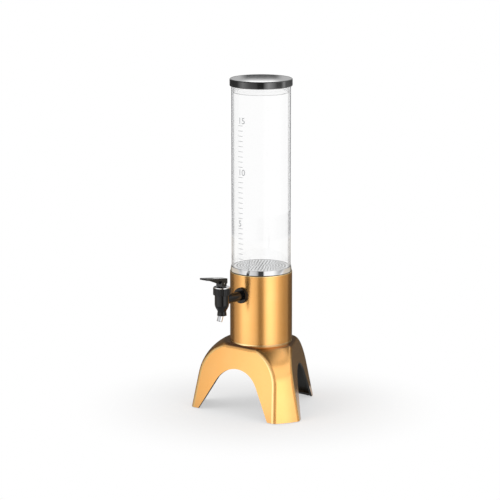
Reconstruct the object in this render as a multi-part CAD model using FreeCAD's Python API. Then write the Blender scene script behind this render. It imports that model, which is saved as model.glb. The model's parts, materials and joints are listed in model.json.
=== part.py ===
import FreeCAD, Part
import math
import os

# Beer tower dispenser: a clear tube on a round gold body, a three-legged shell for a base,
# and a lever tap. Millimetres, +Z up, floor at z = 0. The tap points to -Y.
# Radii are measured from the tower's axis unless a name says otherwise.

V = FreeCAD.Vector
UP = V(0, 0, 1)
CENTRE = V(0, 0, 0)
FULL_TURN = 360.0
FAR = 400.0                     # longer than any cut has to reach

# Clearances
FIT = 0.05                      # running fit, and a push fit that isn't meant to bind
SEAT = 0.1                      # a turned piece in its round seat
LOOSE = 0.3                     # a hole round a screw or shank, and parts that pass each other

# The tower as a whole
HEIGHT = 510.0                  # floor to the top of the lid
DECK_Z = 103.6                  # where the body stands on the base
BODY_HEIGHT = 111.4
BODY_R = 47.5
SLEEVE_WALL = 1.5

# Three-legged base
LEG_COUNT = 3
FIRST_LEG_DEG = 90.0            # the rear leg; the tap is over the arch opposite
FOOT_R = 107.0                  # legs stand on a circle of this radius
KNEE_R = 89.1                   # where leg and slope would meet, unrounded
KNEE_Z = 87.1
KNEE_ROUND = 76.0
CREST_LAND = 9.5                # body's side to the crest's rim, unrounded
CREST_Z = 106.6
CREST_ROUND = 12.0
SIDE_FOOT_DIST = 71.0           # axis to each flat side, at the floor
SIDE_LEAN_DEG = 10.2            # each flat side leans in by this much
CREASE_ROUND = 9.0
BASE_WALL = 3.0
DECK_THICK = 4.0
ARCH_TOP_Z = 70.5
ARCH_FOOT_HALF = 68.0
ARCH_SIDE_DEG = 59.0

# Rubber pads under the legs
PAD_PROUD = 1.0
PAD_SUNK = 1.0
PAD_WIDTH = 5.0
PAD_EDGE = 1.2                  # web left round a pad
WEB_THICK = 3.0

# Screws that hold the body to the base
SCREW_R = 2.0
SCREW_HEAD_R = 3.9
SCREW_HEAD_HEIGHT = 2.6
SCREW_BITE = 11.0               # length of screw in its post
DRIVE_R = 1.3
DRIVE_DEPTH = 1.4
POST_R = 5.5
POST_PITCH_R = 31.0

# Inner cup that holds the last of the beer and carries the tap
CUP_WALL = 2.7
CUP_FLOOR = 2.5
CUP_TO_SLEEVE = 2.3             # room for the collar's threaded skirt
TAP_TO_CUP_FLOOR = 15.0         # shank axis down to the cup's floor

# Collar, gaskets and strainer
COLLAR_HEIGHT = 8.0
COLLAR_TOP_WALL = 0.8
COLLAR_STEP = 0.8               # how far its foot stands back from the body's side
COLLAR_EDGE_ROUND = 0.4
LEDGE_THICK = 2.2
LEDGE_RISE = 1.2                # ledge's top above the sleeve's top
SKIRT_DEPTH = 12.0
GASKET_THICK = 1.2
STRAINER_THICK = 1.2
STRAINER_SKIRT_WALL = 1.0
STRAINER_DROP = 0.2             # strainer's top below the collar's top
STRAINER_RIM = 3.0              # plain metal outside the holes
HOLE_R = 1.35
HOLE_PITCH = 4.6
HOLES_PER_RING = 6              # each ring has this many more than the one inside it

# Tube
TUBE_STEP = 2.6                 # how far the tube stands back from the body's side
TUBE_WALL = 2.2

# Lid
LID_PROUD = 2.6                 # how far its band stands out from the tube
LID_BAND = 11.0
LID_PLATE = 2.4
LID_EDGE_ROUND = 1.1
LID_RIM = 2.0                   # black rim left round the metal disc
DISC_THICK = 1.0
DISC_SUNK = 0.2
LID_BOSS_HEIGHT = 6.0
LID_BOSS_WALL = 2.0
PLUG_HEIGHT = 17.0
PLUG_WALL = 2.2
PLUG_TO_TUBE = 0.6
LIP_HEIGHT = 1.0
LIP_SPACING = 4.5

# Tap: its shank runs along Y at this height, its barrel stands this far out
TAP_Z = 184.0
TAP_REACH = 94.5
BARREL_R = 10.9
BARREL_TOP = 9.3                # heights in the tap are measured from the shank's axis
NECK_TOP = 16.2
NECK_R = 9.4
CHAMBER_R = 7.6
SEAT_DEPTH = 9.0                # valve seat below the shank's axis
BARREL_SHOULDER = 8.0           # where the barrel starts to narrow
BARREL_FOOT = 16.0
BARREL_FOOT_R = 6.5
BARREL_SHOULDER_ROUND = 14.0
SPOUT_RING_TOP = 17.0
SPOUT_RING_FOOT = 22.5
SPOUT_RING_TOP_R = 6.7
SPOUT_RING_FOOT_R = 7.3
OUTLET_R = 3.2

# Shank, its seals and nut
SHANK_R = 7.4
THREAD_R = 7.0
SHANK_BORE_R = 4.0
FLANGE_R = 11.6
FLANGE_THICK = 2.0
FLANGE_GASKET_R = 12.0
FLANGE_GASKET_THICK = 2.5       # at its thinnest, where the sleeve bulges most
WASHER_R = 12.0
WASHER_THICK = 2.0              # at its edge, where the cup's wall comes nearest
NUT_FLATS_R = 11.0
NUT_THICK = 5.5
SHANK_TAIL = 1.5                # shank beyond the nut
CUP_BOSS_R = 13.0

# Bonnet, its chrome ring, seal and gasket
BONNET_R = 13.2
BONNET_TOP = 20.3
BONNET_EDGE_ROUND = 0.8
BONNET_GASKET_THICK = 0.8
FLUTES = 30
FLUTE_R = 0.7
FLUTE_DEPTH = 0.35
SEAL_R = 4.6
SEAL_THICK = 1.9
RING_R = 12.4
RING_BORE_R = 4.2
RING_THICK = 1.0
SPRING_WASHER_R = 6.9

# Stem, plug and spring
STEM_R = 2.0
STEM_COLLAR_R = 5.8
STEM_COLLAR_THICK = 1.0
EYE_R = 3.2
PLUG_R = 6.8
PLUG_THICK = 4.0
STEM_IN_PLUG = 3.0
SPRING_MEAN_R = 4.7
SPRING_WIRE_R = 0.5
SPRING_TURNS = 6

# Lever and its pin
PIN_R = 1.25
PIN_Z = 27.0
PIN_SHORT = 0.4                 # pin ends below the hub's sides
HUB_HALF_WIDTH = 5.6
HUB_FRONT = 6.5                 # hub in front of the stem, and behind it
HUB_BACK = 4.6
HUB_ROUND = 1.5
HEAD_BACK = 7.5                 # the head overhangs the hub's back
HEAD_FOOT = 26.0
HEAD_TOP = 34.0                 # at its back
HEAD_ROUND = 3.0
LEVER_REACH = 44.0
LEVER_RISE_DEG = 8.0
LEVER_SWING_DEG = 22.0
PADDLE_ROOT_THICK = 4.2
PADDLE_TIP_THICK = 2.4
PADDLE_HALF_WIDTH = 7.6
PADDLE_CORNER = 3.0
PADDLE_NOSE_ROUND = 1.0
RIB_HALF_WIDTH = 2.5
RIB_REACH = 34.0
RIB_FOOT = 26.0

# Nozzle
NOZZLE_R = 4.2
NOZZLE_WALL = 1.0
NOZZLE_LENGTH = 16.0
NOZZLE_TILT_DEG = 22.0

# Places that follow from the sizes above
CREST_R = BODY_R + CREST_LAND
TUBE_R = BODY_R - TUBE_STEP
LID_R = TUBE_R + LID_PROUD
SLEEVE_TOP = DECK_Z + BODY_HEIGHT
SLEEVE_BORE_R = BODY_R - SLEEVE_WALL
COLLAR_TOP = SLEEVE_TOP + COLLAR_HEIGHT
LEDGE_TOP = SLEEVE_TOP + LEDGE_RISE
LEDGE_UNDER = LEDGE_TOP - LEDGE_THICK
CUP_R = SLEEVE_BORE_R - CUP_TO_SLEEVE
CUP_BORE_R = CUP_R - CUP_WALL
CUP_TOP = LEDGE_UNDER - GASKET_THICK
CUP_INSIDE_Z = TAP_Z - TAP_TO_CUP_FLOOR
TUBE_BORE_R = TUBE_R - TUBE_WALL
TUBE_FOOT = LEDGE_TOP + GASKET_THICK
LID_UNDER = HEIGHT - DISC_SUNK - DISC_THICK - LID_PLATE
LID_PLUG_R = TUBE_BORE_R - PLUG_TO_TUBE
LID_BOSS_R = LID_PLUG_R - PLUG_WALL
RECESS_R = LID_R - LID_RIM
FLANGE_FACE = BODY_R + FLANGE_GASKET_THICK
WASHER_FACE = math.sqrt(CUP_BORE_R ** 2 - WASHER_R ** 2) - WASHER_THICK
NUT_FACE = WASHER_FACE - NUT_THICK
BONNET_PLATE = NECK_TOP + BONNET_GASKET_THICK
RING_TOP = BONNET_TOP + RING_THICK
HUB_FOOT = RING_TOP + LOOSE
PLUG_TOP = PLUG_THICK - SEAT_DEPTH
STEM_COLLAR_TOP = PLUG_TOP + STEM_COLLAR_THICK
NOZZLE_ROOT = -BARREL_FOOT
TOWER_Y = (TAP_REACH + LEVER_REACH - FOOT_R) / 2   # centres the whole part on Y
LEG_ANGLES = [FIRST_LEG_DEG + i * FULL_TURN / LEG_COUNT for i in range(LEG_COUNT)]
SIDE_ANGLES = [angle + FULL_TURN / LEG_COUNT / 2 for angle in LEG_ANGLES]


def save(name, shape):
    """Write one node, moved so that the whole part is centred on the origin."""
    shape.translated(V(0, TOWER_Y, 0)).exportStep(f"parts/{name}.step")


def disc(radius, low, high):
    """Round slab about Z."""
    return Part.makeCylinder(radius, high - low, V(0, 0, low))


def ring(inner, outer, low, high):
    """Flat ring about Z."""
    return disc(outer, low, high).cut(disc(inner, low, high))


def rod_y(radius, start, end):
    """Round bar along Y, from y = start to y = end."""
    return Part.makeCylinder(radius, end - start, V(0, start, 0), V(0, 1, 0))


def rod_x(radius, half_length, y, z):
    """Round bar along X, centred on x = 0."""
    return Part.makeCylinder(radius, 2 * half_length, V(-half_length, y, z), V(1, 0, 0))


def turned_about(shape, degrees):
    """A copy of the shape, turned about the tower's axis."""
    return shape.rotated(CENTRE, UP, degrees)


def rounded_face(corners, place):
    """Flat face through (u, v, radius) corners, each rounded by its radius. place maps (u, v) to 3-D."""
    spots = []
    for i, (u, v, radius) in enumerate(corners):
        here = V(u, v, 0)
        before = V(corners[i - 1][0], corners[i - 1][1], 0)
        following = corners[(i + 1) % len(corners)]
        back = (before - here).normalize()
        ahead = (V(following[0], following[1], 0) - here).normalize()
        half = back.getAngle(ahead) / 2
        reach = radius / math.tan(half)
        middle = here + (back + ahead).normalize() * (radius / math.sin(half) - radius)
        spots.append((here + back * reach, middle, here + ahead * reach))
    edges = []
    for i, (start, middle, end) in enumerate(spots):
        if corners[i][2] > 0:
            edges.append(Part.Arc(place(start), place(middle), place(end)).toShape())
        edges.append(Part.LineSegment(place(end), place(spots[(i + 1) % len(spots)][0])).toShape())
    return Part.Face(Part.Wire(edges))


def turned(corners):
    """Solid of revolution from (radius, z, rounding) corners."""
    return rounded_face(corners, lambda p: V(p.x, 0, p.y)).revolve(CENTRE, UP, FULL_TURN)


def slab_x(corners, half_width):
    """Side profile of (y, z, rounding) corners, extruded along X to each side of x = 0."""
    face = rounded_face(corners, lambda p: V(-half_width, p.x, p.y))
    return face.extrude(V(2 * half_width, 0, 0))


# ---------------------------------------------------------------- base

def shifted(start, end, depth):
    """The line from start to end, moved by depth to its left."""
    run = (end - start).normalize()
    move = V(-run.y, run.x, 0) * depth
    return start + move, end + move


def at_height(line, z):
    """Radius at which a (radius, z) line passes a height."""
    start, end = line
    return start.x + (end.x - start.x) * (z - start.y) / (end.y - start.y)


def meeting(first, second):
    """Where two (radius, z) lines cross."""
    run_a = first[1] - first[0]
    run_b = second[1] - second[0]
    gap = second[0] - first[0]
    share = (gap.x * run_b.y - gap.y * run_b.x) / (run_a.x * run_b.y - run_a.y * run_b.x)
    return first[0] + run_a * share


def tripod_form(inset, low, high):
    """The base's outer form, moved inward by an inset, between two heights."""
    leg = shifted(V(FOOT_R, 0, 0), V(KNEE_R, KNEE_Z, 0), inset)
    slope = shifted(V(KNEE_R, KNEE_Z, 0), V(CREST_R, CREST_Z, 0), inset)
    knee = meeting(leg, slope)
    form = turned([
        (0, low, 0),
        (at_height(leg, low), low, 0),
        (knee.x, knee.y, KNEE_ROUND - inset),
        (at_height(slope, CREST_Z), CREST_Z, CREST_ROUND),
        (0, CREST_Z, 0),
    ])
    form = turned_about(form.cut(disc(FOOT_R, high, CREST_Z + FIT)), FIRST_LEG_DEG)
    foot = SIDE_FOOT_DIST - inset / math.cos(math.radians(SIDE_LEAN_DEG))
    beyond = Part.makeBox(FAR, 2 * FAR, 2 * FAR, V(foot, -FAR, -FAR))
    beyond.rotate(V(foot, 0, 0), V(0, -1, 0), SIDE_LEAN_DEG)
    for angle in SIDE_ANGLES:
        form = form.cut(turned_about(beyond, angle))
    return form


def side_gap(point):
    """How far a point lies from the nearest flat side."""
    gaps = []
    lean = math.radians(SIDE_LEAN_DEG)
    for angle in SIDE_ANGLES:
        turn = math.radians(angle)
        out = point.x * math.cos(turn) + point.y * math.sin(turn)
        gaps.append(abs((out - SIDE_FOOT_DIST) * math.cos(lean) + point.z * math.sin(lean)))
    return min(gaps)


def crease_edges(form):
    """Edges where a flat side meets the turned surface or the crest."""
    found = []
    for edge in form.Edges:
        middle = edge.valueAt((edge.FirstParameter + edge.LastParameter) / 2)
        if side_gap(middle) < FIT and middle.z > PAD_PROUD + FIT:
            found.append(edge)
    return found


def arch_cut():
    """Prism that opens one side between two legs: straight sides under a round top."""
    side = math.radians(ARCH_SIDE_DEG)
    below = PAD_PROUD + BASE_WALL
    peak = ARCH_FOOT_HALF * math.tan(side)
    top_round = (peak - ARCH_TOP_Z) / (1 / math.cos(side) - 1)
    foot = ARCH_FOOT_HALF + below / math.tan(side)
    start = SIDE_FOOT_DIST / 2
    corners = [(-foot, -below, 0), (foot, -below, 0), (0, peak, top_round)]
    return rounded_face(corners, lambda p: V(start, p.x, p.y)).extrude(V(FAR, 0, 0))


def pad_block(slack, low, high):
    """Arc-shaped block under the leg that points along X, grown by a slack."""
    outer = FOOT_R - BASE_WALL - PAD_EDGE
    inner = outer - PAD_WIDTH
    room = SIDE_FOOT_DIST - BASE_WALL - PAD_EDGE
    half = math.degrees(math.pi / LEG_COUNT - math.acos(room / outer)) + math.degrees(slack / outer)
    wide = Part.makeCylinder(outer + slack, high - low, V(0, 0, low), UP, 2 * half)
    core = Part.makeCylinder(inner - slack, high - low, V(0, 0, low), UP, FULL_TURN)
    return turned_about(wide.cut(core), -half)


def tripod_base():
    """Thin shell with three legs, a deck for the body and a web with a pad seat in each foot."""
    form = tripod_form(0, PAD_PROUD, CREST_Z)
    form = form.makeFillet(CREASE_ROUND, crease_edges(form))
    hollow = tripod_form(BASE_WALL, 0, DECK_Z - DECK_THICK)
    shell = form.cut(hollow)
    half_leg = math.pi / LEG_COUNT
    strip_end = SIDE_FOOT_DIST * math.cos(half_leg) + ARCH_FOOT_HALF * math.sin(half_leg)
    beyond = Part.makeBox(FAR, 2 * FAR, WEB_THICK, V(strip_end, -FAR, PAD_PROUD))
    for angle in LEG_ANGLES:
        shell = shell.fuse(hollow.common(turned_about(beyond, angle)))
    for angle in SIDE_ANGLES:
        shell = shell.cut(turned_about(arch_cut(), angle))
    shell = shell.cut(disc(BODY_R + SEAT, DECK_Z, CREST_Z + FIT))
    for angle in LEG_ANGLES:
        shell = shell.cut(turned_about(pad_block(SEAT, 0, PAD_PROUD + PAD_SUNK), angle))
        hole = Part.makeCylinder(SCREW_R + LOOSE, 2 * DECK_THICK, V(POST_PITCH_R, 0, DECK_Z - 1.5 * DECK_THICK))
        shell = shell.cut(turned_about(hole, angle))
    return shell.removeSplitter()


def foot_pads():
    """One rubber pad in each foot."""
    return Part.makeCompound([
        turned_about(pad_block(0, 0, PAD_PROUD + PAD_SUNK), angle) for angle in LEG_ANGLES
    ])


def base_screws():
    """Pan-head screws up through the deck into the cup's posts."""
    under = DECK_Z - DECK_THICK
    screw = disc(SCREW_HEAD_R, under - SCREW_HEAD_HEIGHT, under)
    screw = screw.fuse(disc(SCREW_R, under, DECK_Z + SCREW_BITE))
    screw = screw.cut(disc(DRIVE_R, under - SCREW_HEAD_HEIGHT, under - SCREW_HEAD_HEIGHT + DRIVE_DEPTH))
    screw.translate(V(POST_PITCH_R, 0, 0))
    return Part.makeCompound([turned_about(screw, angle) for angle in LEG_ANGLES])


# ---------------------------------------------------------------- body

def along_tap(shape):
    """Move a shape from the tap's own frame to the tower."""
    return shape.translated(V(0, -TAP_REACH, TAP_Z))


def shank_hole(radius):
    """Round cut for the shank, from inside the cup out past the sleeve."""
    return rod_y(radius, -FAR, 0).translated(V(0, 0, TAP_Z))


def body_sleeve():
    """Gold outer tube of the body, with the tap's hole."""
    edge = SLEEVE_WALL / 2
    sleeve = turned([
        (SLEEVE_BORE_R, DECK_Z, 0),
        (BODY_R, DECK_Z, edge),
        (BODY_R, SLEEVE_TOP, edge),
        (SLEEVE_BORE_R, SLEEVE_TOP, 0),
    ])
    return sleeve.cut(shank_hole(THREAD_R + LOOSE))


def reservoir_cup():
    """Plastic cup inside the sleeve, on three posts, with a boss behind the tap's hole."""
    cup = disc(CUP_R, CUP_INSIDE_Z - CUP_FLOOR, CUP_TOP)
    boss = rod_y(CUP_BOSS_R, -FAR, 0).translated(V(0, 0, TAP_Z))
    cup = cup.fuse(boss.common(disc(SLEEVE_BORE_R - SEAT, CUP_INSIDE_Z - CUP_FLOOR, CUP_TOP)))
    for angle in LEG_ANGLES:
        post = Part.makeCylinder(POST_R, CUP_INSIDE_Z - DECK_Z, V(POST_PITCH_R, 0, DECK_Z))
        pilot = Part.makeCylinder(SCREW_R, SCREW_BITE, V(POST_PITCH_R, 0, DECK_Z))
        cup = cup.fuse(turned_about(post, angle)).cut(turned_about(pilot, angle))
    cup = cup.cut(disc(CUP_BORE_R, CUP_INSIDE_Z, CUP_TOP))
    return cup.cut(shank_hole(THREAD_R + LOOSE)).removeSplitter()


def chrome_collar():
    """Chromed ring that joins the tube to the body, with a ledge and a threaded skirt."""
    socket = TUBE_R + SEAT
    skirt_out = SLEEVE_BORE_R - LOOSE
    skirt_in = CUP_R + SEAT
    return turned([
        (CUP_BORE_R, LEDGE_UNDER, 0),
        (skirt_in, LEDGE_UNDER, 0),
        (skirt_in, SLEEVE_TOP - SKIRT_DEPTH, 0),
        (skirt_out, SLEEVE_TOP - SKIRT_DEPTH, 0),
        (skirt_out, SLEEVE_TOP, 0),
        (BODY_R - COLLAR_STEP, SLEEVE_TOP, 0),
        (socket + COLLAR_TOP_WALL, COLLAR_TOP, COLLAR_EDGE_ROUND),
        (socket, COLLAR_TOP, 0),
        (socket, LEDGE_TOP, 0),
        (CUP_BORE_R, LEDGE_TOP, 0),
    ])


def strainer_plate():
    """Pressed metal dish with rings of holes, standing on the collar's ledge inside the tube."""
    top = COLLAR_TOP - STRAINER_DROP
    radius = TUBE_BORE_R - LOOSE
    dish = disc(radius, LEDGE_TOP, top)
    dish = dish.cut(disc(radius - STRAINER_SKIRT_WALL, LEDGE_TOP, top - STRAINER_THICK))
    hole = disc(HOLE_R, LEDGE_TOP, top + FIT)
    holes = [hole]
    rings = int((radius - STRAINER_RIM - HOLE_R) / HOLE_PITCH)
    for count in range(1, rings + 1):
        one = hole.translated(V(count * HOLE_PITCH, 0, 0))
        turns = HOLES_PER_RING * count
        holes += [turned_about(one, i * FULL_TURN / turns) for i in range(turns)]
    return dish.cut(Part.makeCompound(holes))


# ---------------------------------------------------------------- tube and lid

def lid_cap():
    """Black lid with a band outside the tube, a boss for the plug and a seat for the metal disc."""
    return turned([
        (0, LID_UNDER, 0),
        (LID_BOSS_R - LID_BOSS_WALL, LID_UNDER, 0),
        (LID_BOSS_R - LID_BOSS_WALL, LID_UNDER - LID_BOSS_HEIGHT, 0),
        (LID_BOSS_R, LID_UNDER - LID_BOSS_HEIGHT, 0),
        (LID_BOSS_R, LID_UNDER, 0),
        (TUBE_R + LOOSE, LID_UNDER, 0),
        (TUBE_R + LOOSE, HEIGHT - LID_BAND, 0),
        (LID_R, HEIGHT - LID_BAND, LID_EDGE_ROUND),
        (LID_R, HEIGHT, LID_EDGE_ROUND),
        (RECESS_R, HEIGHT, 0),
        (RECESS_R, LID_UNDER + LID_PLATE, 0),
        (0, LID_UNDER + LID_PLATE, 0),
    ])


def lid_plug():
    """Soft stopper inside the tube's mouth, with two sealing lips."""
    low = LID_UNDER - PLUG_HEIGHT
    upper = low + LIP_SPACING
    lip = TUBE_BORE_R - SEAT
    return turned([
        (LID_BOSS_R + FIT, LID_UNDER, 0),
        (LID_BOSS_R + FIT, low, 0),
        (lip, low, 0),
        (lip, low + LIP_HEIGHT / 2, 0),
        (LID_PLUG_R, low + LIP_HEIGHT, 0),
        (LID_PLUG_R, upper, 0),
        (lip, upper + LIP_HEIGHT / 2, 0),
        (LID_PLUG_R, upper + LIP_HEIGHT, 0),
        (LID_PLUG_R, LID_UNDER, 0),
    ])


# ---------------------------------------------------------------- tap, in its own frame
# Origin where the shank's axis meets the barrel's, +Y towards the tower.

def nozzle_rod(radius, length):
    """Round bar on the nozzle's axis, which leans out from under the barrel."""
    tilt = math.radians(NOZZLE_TILT_DEG)
    way = V(0, -math.sin(tilt), -math.cos(tilt))
    return Part.makeCylinder(radius, length, V(0, 0, NOZZLE_ROOT), way)


def tap_body():
    """Moulded barrel with its shank, shoulder and spout."""
    barrel = turned([
        (0, -SPOUT_RING_FOOT, 0),
        (SPOUT_RING_FOOT_R, -SPOUT_RING_FOOT, 0),
        (SPOUT_RING_TOP_R, -SPOUT_RING_TOP, 0),
        (BARREL_FOOT_R, -BARREL_FOOT, 0),
        (BARREL_R, -BARREL_SHOULDER, BARREL_SHOULDER_ROUND),
        (BARREL_R, BARREL_TOP, 0),
        (NECK_R, BARREL_TOP, 0),
        (NECK_R, NECK_TOP, 0),
        (0, NECK_TOP, 0),
    ])
    shoulder = TAP_REACH - FLANGE_FACE
    shank = rod_y(SHANK_R, 0, shoulder)
    shank = shank.fuse(rod_y(FLANGE_R, shoulder - FLANGE_THICK, shoulder))
    shank = shank.fuse(rod_y(THREAD_R, shoulder, TAP_REACH - NUT_FACE + SHANK_TAIL))
    body = barrel.fuse(shank)
    body = body.cut(disc(CHAMBER_R, -SEAT_DEPTH, NECK_TOP))
    body = body.cut(rod_y(SHANK_BORE_R, 0, TAP_REACH))
    body = body.cut(disc(OUTLET_R, -BARREL_FOOT - OUTLET_R, -SEAT_DEPTH))
    return body.cut(nozzle_rod(NOZZLE_R, NOZZLE_LENGTH)).removeSplitter()


def spout_nozzle():
    """Short tube pressed into the spout."""
    return nozzle_rod(NOZZLE_R, NOZZLE_LENGTH).cut(nozzle_rod(NOZZLE_R - NOZZLE_WALL, NOZZLE_LENGTH))


def flange_gasket():
    """Rubber washer under the shank's shoulder, hollowed to the sleeve's curve."""
    blank = rod_y(FLANGE_GASKET_R, TAP_REACH - FLANGE_FACE, TAP_REACH)
    blank = blank.cut(rod_y(THREAD_R + FIT, 0, TAP_REACH))
    return blank.cut(disc(BODY_R + FIT, -FAR, FAR).translated(V(0, TAP_REACH, 0)))


def inner_washer():
    """Rubber washer inside the cup, rounded to the cup's wall."""
    blank = rod_y(WASHER_R, 0, TAP_REACH - WASHER_FACE)
    blank = blank.cut(rod_y(THREAD_R + FIT, 0, TAP_REACH))
    return blank.common(disc(CUP_BORE_R - FIT, -FAR, FAR).translated(V(0, TAP_REACH, 0)))


def shank_nut():
    """Hexagon nut that clamps sleeve and cup between the two washers."""
    corner = NUT_FLATS_R / math.cos(math.pi / 6)
    turns = [math.radians(60 * i) for i in range(7)]
    start = TAP_REACH - WASHER_FACE
    points = [V(corner * math.cos(a), start, corner * math.sin(a)) for a in turns]
    nut = Part.Face(Part.makePolygon(points)).extrude(V(0, NUT_THICK, 0))
    return nut.cut(rod_y(THREAD_R + FIT, 0, TAP_REACH))


def tap_bonnet():
    """Fluted cap screwed over the barrel's neck, with a pocket for the stem's seal."""
    bonnet = turned([
        (0, BARREL_TOP, 0),
        (BONNET_R, BARREL_TOP, BONNET_EDGE_ROUND),
        (BONNET_R, BONNET_TOP, BONNET_EDGE_ROUND),
        (0, BONNET_TOP, 0),
    ])
    bonnet = bonnet.cut(disc(NECK_R + FIT, BARREL_TOP, BONNET_PLATE))
    bonnet = bonnet.cut(disc(SEAL_R, BONNET_PLATE, BONNET_PLATE + SEAL_THICK))
    bonnet = bonnet.cut(disc(STEM_R + FIT, BARREL_TOP, BONNET_TOP))
    flute = disc(FLUTE_R, BARREL_TOP, BONNET_TOP).translated(V(BONNET_R + FLUTE_R - FLUTE_DEPTH, 0, 0))
    flutes = [turned_about(flute, i * FULL_TURN / FLUTES) for i in range(FLUTES)]
    return bonnet.cut(Part.makeCompound(flutes))


def valve_stem():
    """Metal rod from the plug to the lever's pin, with a collar for the spring and an eye."""
    stem = disc(STEM_R, PLUG_TOP - STEM_IN_PLUG, PIN_Z)
    stem = stem.fuse(disc(STEM_COLLAR_R, PLUG_TOP, STEM_COLLAR_TOP))
    stem = stem.fuse(rod_x(EYE_R, STEM_R, 0, PIN_Z))
    return stem.cut(rod_x(PIN_R, STEM_R, 0, PIN_Z)).removeSplitter()


def valve_plug():
    """Rubber plug on the stem's foot, closing the outlet in the chamber's floor."""
    return disc(PLUG_R, -SEAT_DEPTH, PLUG_TOP).cut(disc(STEM_R, PLUG_TOP - STEM_IN_PLUG, PLUG_TOP))


def valve_spring():
    """Coil spring round the stem, between its collar and the washer under the bonnet."""
    low = STEM_COLLAR_TOP + SPRING_WIRE_R + FIT
    high = NECK_TOP - SPRING_WIRE_R - FIT
    helix = Part.makeHelix((high - low) / SPRING_TURNS, high - low, SPRING_MEAN_R)
    wire = Part.makeCircle(SPRING_WIRE_R, V(SPRING_MEAN_R, 0, 0), V(0, 1, 0))
    coil = Part.Wire(helix).makePipeShell([Part.Wire(wire)], True, True)
    return coil.translated(V(0, 0, low))


def paddle_top(y):
    """Height of the lever's upper face."""
    return HEAD_TOP + (HEAD_BACK - y) * math.tan(math.radians(LEVER_RISE_DEG))


def tap_lever():
    """Moulded lever: a hub forked round the stem's eye under a head, a flat paddle and a rib under it."""
    tip = -LEVER_REACH
    paddle = slab_x([
        (0, paddle_top(0), 0),
        (0, paddle_top(0) - PADDLE_ROOT_THICK, 0),
        (-HUB_FRONT, paddle_top(-HUB_FRONT) - PADDLE_ROOT_THICK, 0),
        (tip, paddle_top(tip) - PADDLE_TIP_THICK, PADDLE_NOSE_ROUND),
        (tip, paddle_top(tip), PADDLE_NOSE_ROUND),
    ], PADDLE_HALF_WIDTH)
    outline = rounded_face([
        (-HUB_HALF_WIDTH, HEAD_BACK, HUB_ROUND),
        (-PADDLE_HALF_WIDTH, tip, PADDLE_CORNER),
        (PADDLE_HALF_WIDTH, tip, PADDLE_CORNER),
        (HUB_HALF_WIDTH, HEAD_BACK, HUB_ROUND),
    ], lambda p: V(p.x, p.y, 0)).extrude(V(0, 0, FAR))
    hub = slab_x([
        (-HUB_FRONT, HUB_FOOT, HUB_ROUND),
        (HUB_BACK, HUB_FOOT, HUB_ROUND),
        (HUB_BACK, HEAD_TOP, 0),
        (-HUB_FRONT, HEAD_TOP, 0),
    ], HUB_HALF_WIDTH)
    head = slab_x([
        (-HUB_FRONT, HEAD_FOOT, 0),
        (HEAD_BACK, HEAD_FOOT, HEAD_ROUND),
        (HEAD_BACK, HEAD_TOP, HEAD_ROUND),
        (-HUB_FRONT, paddle_top(-HUB_FRONT), 0),
    ], HUB_HALF_WIDTH)
    under = paddle_top(-RIB_REACH) - PADDLE_TIP_THICK
    rib = slab_x([
        (-HUB_FRONT + HUB_ROUND, RIB_FOOT, 0),
        (-HUB_FRONT + HUB_ROUND, HEAD_TOP, 0),
        (-RIB_REACH, under, 0),
    ], RIB_HALF_WIDTH)
    lever = hub.fuse(head).fuse(paddle).fuse(rib).common(outline)
    swing = math.sin(math.radians(LEVER_SWING_DEG)) * (PIN_Z - HUB_FOOT)
    slot_front = max(EYE_R, STEM_R + swing) + LOOSE
    slot_back = EYE_R + LOOSE
    slot_top = PIN_Z + EYE_R + LOOSE
    slot_half = STEM_R + LOOSE
    slot = Part.makeBox(
        2 * slot_half, slot_front + slot_back, slot_top, V(-slot_half, -slot_front, 0)
    )
    lever = lever.cut(slot).cut(rod_x(PIN_R + FIT, HUB_HALF_WIDTH, 0, PIN_Z))
    return lever.removeSplitter()


# ---------------------------------------------------------------- build

os.makedirs("parts", exist_ok=True)

save("tripod_base", tripod_base())
save("foot_pads", foot_pads())
save("base_screws", base_screws())

save("body_sleeve", body_sleeve())
save("reservoir_cup", reservoir_cup())
save("collar_gasket", ring(CUP_BORE_R, CUP_R, CUP_TOP, LEDGE_UNDER))
save("chrome_collar", chrome_collar())
save("tube_gasket", ring(TUBE_BORE_R, TUBE_R, LEDGE_TOP, TUBE_FOOT))
save("strainer_plate", strainer_plate())

save("beer_tube", ring(TUBE_BORE_R, TUBE_R, TUBE_FOOT, LID_UNDER))
save("lid_cap", lid_cap())
save("lid_disc", disc(RECESS_R - SEAT, LID_UNDER + LID_PLATE, HEIGHT - DISC_SUNK))
save("lid_plug", lid_plug())

save("tap_body", along_tap(tap_body()))
save("spout_nozzle", along_tap(spout_nozzle()))
save("flange_gasket", along_tap(flange_gasket()))
save("inner_washer", along_tap(inner_washer()))
save("shank_nut", along_tap(shank_nut()))
save("tap_bonnet", along_tap(tap_bonnet()))
save("bonnet_gasket", along_tap(ring(CHAMBER_R, NECK_R, NECK_TOP, BONNET_PLATE)))
save("bonnet_ring", along_tap(ring(RING_BORE_R, RING_R, BONNET_TOP, RING_TOP)))
save("stem_seal", along_tap(ring(STEM_R + FIT, SEAL_R, BONNET_PLATE, BONNET_PLATE + SEAL_THICK)))
save("spring_washer", along_tap(ring(STEM_R + LOOSE, SPRING_WASHER_R, NECK_TOP, BONNET_PLATE)))
save("valve_stem", along_tap(valve_stem()))
save("valve_plug", along_tap(valve_plug()))
save("valve_spring", along_tap(valve_spring()))
save("tap_lever", along_tap(tap_lever()))
save("lever_pin", along_tap(rod_x(PIN_R, HUB_HALF_WIDTH - PIN_SHORT, 0, PIN_Z)))
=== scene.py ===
import json
import math

import bmesh
import bpy
from mathutils import Matrix, Vector


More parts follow.
